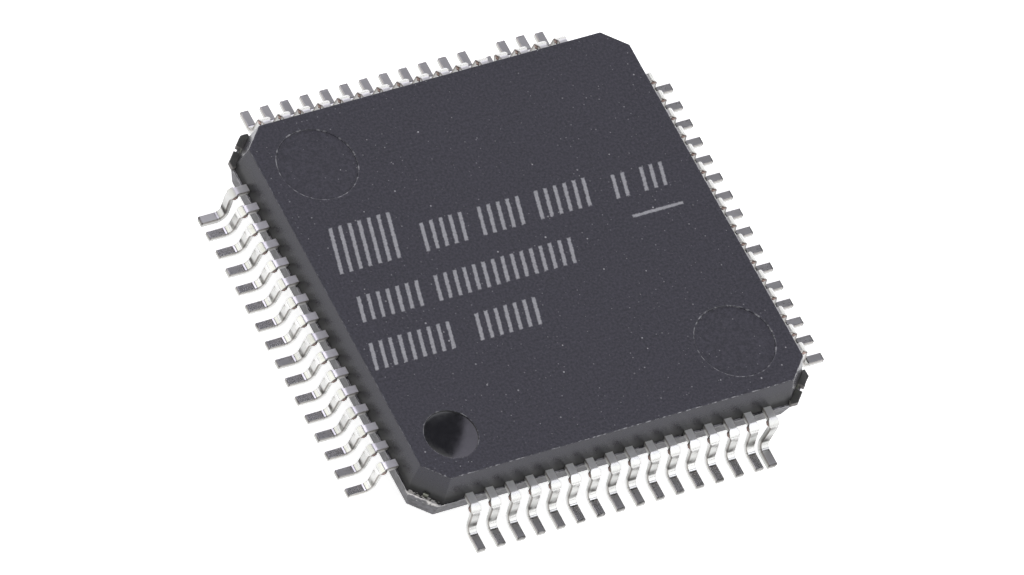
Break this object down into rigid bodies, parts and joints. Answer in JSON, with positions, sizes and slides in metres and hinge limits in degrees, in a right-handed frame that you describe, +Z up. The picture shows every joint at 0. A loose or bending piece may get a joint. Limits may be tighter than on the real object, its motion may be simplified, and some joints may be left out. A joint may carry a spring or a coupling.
{
  "type": "quad flat pack chip",
  "caption": "Thin square surface-mount chip package: drafted black resin body with a pin 1 dimple, ejector marks and gull-wing leads along all sides.",
  "frame": {"origin": "centre of the seating plane, the plane that the feet of the leads stand on", "axes": "+Z up out of the marked face; pin 1 is next to the -X -Y corner, and the pins count anticlockwise from above: 1 to 16 along -Y towards +X, 17 to 32 along +X, 33 to 48 along +Y, 49 to 64 along -X"},
  "size_m": [0.012, 0.012, 0.0015],
  "materials": {
    "moulded_resin": "matte, finely grained mould surface",
    "tin_plate": "satin matte tin over copper alloy",
    "lead_frame_copper": "satin copper alloy strip",
    "silver_epoxy": "satin, silver filled",
    "silicon": "polished",
    "gold_wire": "drawn gold wire"
  },
  "bodies": {
    "root": {"moulded_body": "moulded_resin", "die_pad": "lead_frame_copper", "die_attach": "silver_epoxy", "silicon_die": "silicon", "bond_wires_front": "gold_wire", "bond_wires_right": "gold_wire", "bond_wires_rear": "gold_wire", "bond_wires_left": "gold_wire", "leads_01_02": "tin_plate", "leads_03_04": "tin_plate", "leads_05_06": "tin_plate", "leads_07_08": "tin_plate", "leads_09_10": "tin_plate", "leads_11_12": "tin_plate", "leads_13_14": "tin_plate", "leads_15_16": "tin_plate", "leads_17_18": "tin_plate", "leads_19_20": "tin_plate", "leads_21_22": "tin_plate", "leads_23_24": "tin_plate", "leads_25_26": "tin_plate", "leads_27_28": "tin_plate", "leads_29_30": "tin_plate", "leads_31_32": "tin_plate", "leads_33_34": "tin_plate", "leads_35_36": "tin_plate", "leads_37_38": "tin_plate", "leads_39_40": "tin_plate", "leads_41_42": "tin_plate", "leads_43_44": "tin_plate", "leads_45_46": "tin_plate", "leads_47_48": "tin_plate", "leads_49_50": "tin_plate", "leads_51_52": "tin_plate", "leads_53_54": "tin_plate", "leads_55_56": "tin_plate", "leads_57_58": "tin_plate", "leads_59_60": "tin_plate", "leads_61_62": "tin_plate", "leads_63_64": "tin_plate"}
  },
  "joints": []
}
